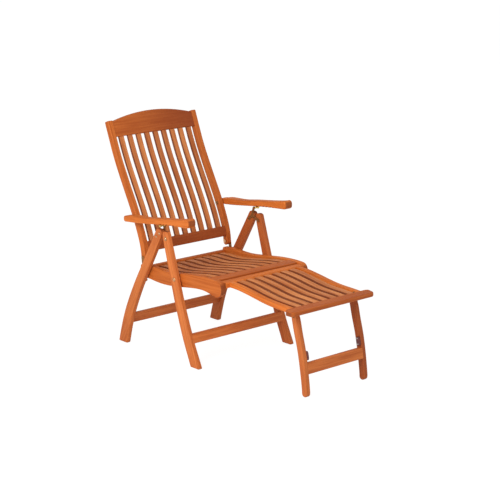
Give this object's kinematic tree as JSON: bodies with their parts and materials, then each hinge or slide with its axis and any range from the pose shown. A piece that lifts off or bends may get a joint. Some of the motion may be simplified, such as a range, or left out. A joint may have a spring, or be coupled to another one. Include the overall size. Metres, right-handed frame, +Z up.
{
  "type": "steamer deck chair",
  "caption": "Folding slatted wooden steamer deck chair with a reclining back, flat arms and a hinged footrest on its own legs.",
  "frame": {"origin": "on the ground under the middle of the whole chair", "axes": "+Z up; the sitter faces -Y; the sitter's left hand is at +X"},
  "size_m": [0.602, 1.2434, 1.007],
  "materials": {
    "legs": "oiled",
    "frame_rails": "oiled",
    "slats": "oiled",
    "brass": "polished",
    "dark_bronze": "satin"
  },
  "bodies": {
    "front_frame": {"front_leg_left": "legs", "front_leg_right": "legs", "front_stretcher": "legs", "seat_bolt_left": "brass", "seat_bolt_right": "brass"},
    "rear_frame": {"rear_leg_left": "legs", "rear_leg_right": "legs", "rear_stretcher": "legs", "apex_plate_left": "brass", "apex_plate_right": "brass"},
    "seat": {"seat_rail_left": "frame_rails", "seat_rail_right": "frame_rails", "seat_slat_1": "slats", "seat_slat_2": "slats", "seat_slat_3": "slats", "seat_slat_4": "slats", "seat_slat_5": "slats", "seat_slat_6": "slats", "seat_slat_7": "slats", "seat_slat_8": "slats", "seat_slat_9": "slats", "seat_rear_rail": "frame_rails", "seat_front_rail": "frame_rails", "back_hinge_left": "brass", "back_hinge_right": "brass"},
    "back": {"back_stile_left": "frame_rails", "back_stile_right": "frame_rails", "back_top_rail": "frame_rails", "back_bottom_rail": "frame_rails", "back_slat_1": "slats", "back_slat_2": "slats", "back_slat_3": "slats", "back_slat_4": "slats", "back_slat_5": "slats", "back_slat_6": "slats", "back_slat_7": "slats", "back_slat_8": "slats", "back_slat_9": "slats"},
    "arm_bolt_left_body": {"arm_bolt_left": "brass"},
    "arm_bolt_right_body": {"arm_bolt_right": "brass"},
    "arm_left_body": {"arm_left": "frame_rails"},
    "arm_right_body": {"arm_right": "frame_rails"},
    "footrest_pins": {"footrest_pin_left": "brass", "footrest_pin_right": "brass"},
    "footrest_panel": {"footrest_rail_left": "frame_rails", "footrest_rail_right": "frame_rails", "footrest_rear_rail": "frame_rails", "footrest_front_rail": "frame_rails", "footrest_slat_1": "slats", "footrest_slat_2": "slats", "footrest_slat_3": "slats", "footrest_slat_4": "slats", "footrest_slat_5": "slats", "footrest_slat_6": "slats", "footrest_slat_7": "slats", "footrest_hanger_left": "brass", "footrest_hanger_right": "brass"},
    "footrest_legs": {"footrest_leg_left": "legs", "footrest_leg_right": "legs", "footrest_stretcher": "legs"}
  },
  "joints": [
    {"name": "leg_fold", "type": "hinge", "parent": "front_frame", "child": "rear_frame", "pos_m": [0, 0.15424, 0.534], "axis": [-1, 0, 0], "range_deg": [0, 44]},
    {"name": "seat_fold", "type": "hinge", "parent": "front_frame", "child": "seat", "pos_m": [0, 0.09713, 0.366], "axis": [1, 0, 0], "range_deg": [0, 48]},
    {"name": "back_recline", "type": "hinge", "parent": "seat", "child": "back", "pos_m": [0, 0.34626, 0.40803], "axis": [-1, 0, 0], "range_deg": [0, 35]},
    {"name": "arm_level_left", "type": "hinge", "parent": "back", "child": "arm_bolt_left_body", "pos_m": [0.254, 0.40349, 0.578], "axis": [1, 0, 0], "range_deg": [0, 30]},
    {"name": "arm_level_right", "type": "hinge", "parent": "back", "child": "arm_bolt_right_body", "pos_m": [-0.254, 0.40349, 0.578], "axis": [1, 0, 0], "range_deg": [0, 30]},
    {"name": "arm_lift_left", "type": "hinge", "parent": "arm_bolt_left_body", "child": "arm_left_body", "pos_m": [0.2785, 0.40349, 0.578], "axis": [-1, 0, 0], "range_deg": [0, 60]},
    {"name": "arm_lift_right", "type": "hinge", "parent": "arm_bolt_right_body", "child": "arm_right_body", "pos_m": [-0.2785, 0.40349, 0.578], "axis": [-1, 0, 0], "range_deg": [0, 60]},
    {"name": "footrest_fold", "type": "hinge", "parent": "seat", "child": "footrest_pins", "pos_m": [0, -0.15798, 0.386], "axis": [-1, 0, 0], "range_deg": [0, 80]},
    {"name": "footrest_swing", "type": "hinge", "parent": "footrest_pins", "child": "footrest_panel", "pos_m": [0, -0.15798, 0.386], "axis": [-1, 0, 0], "range_deg": [0, 44]},
    {"name": "footrest_leg_fold", "type": "hinge", "parent": "footrest_panel", "child": "footrest_legs", "pos_m": [0, -0.53648, 0.33], "axis": [1, 0, 0], "range_deg": [0, 90]}
  ],
  "couplings": [
    {"joint": "seat_fold", "follows": "leg_fold", "ratio": 1.09},
    {"joint": "footrest_fold", "follows": "leg_fold", "ratio": 1.81},
    {"joint": "arm_level_left", "follows": "back_recline", "ratio": 0.71},
    {"joint": "arm_level_right", "follows": "back_recline", "ratio": 0.71}
  ]
}
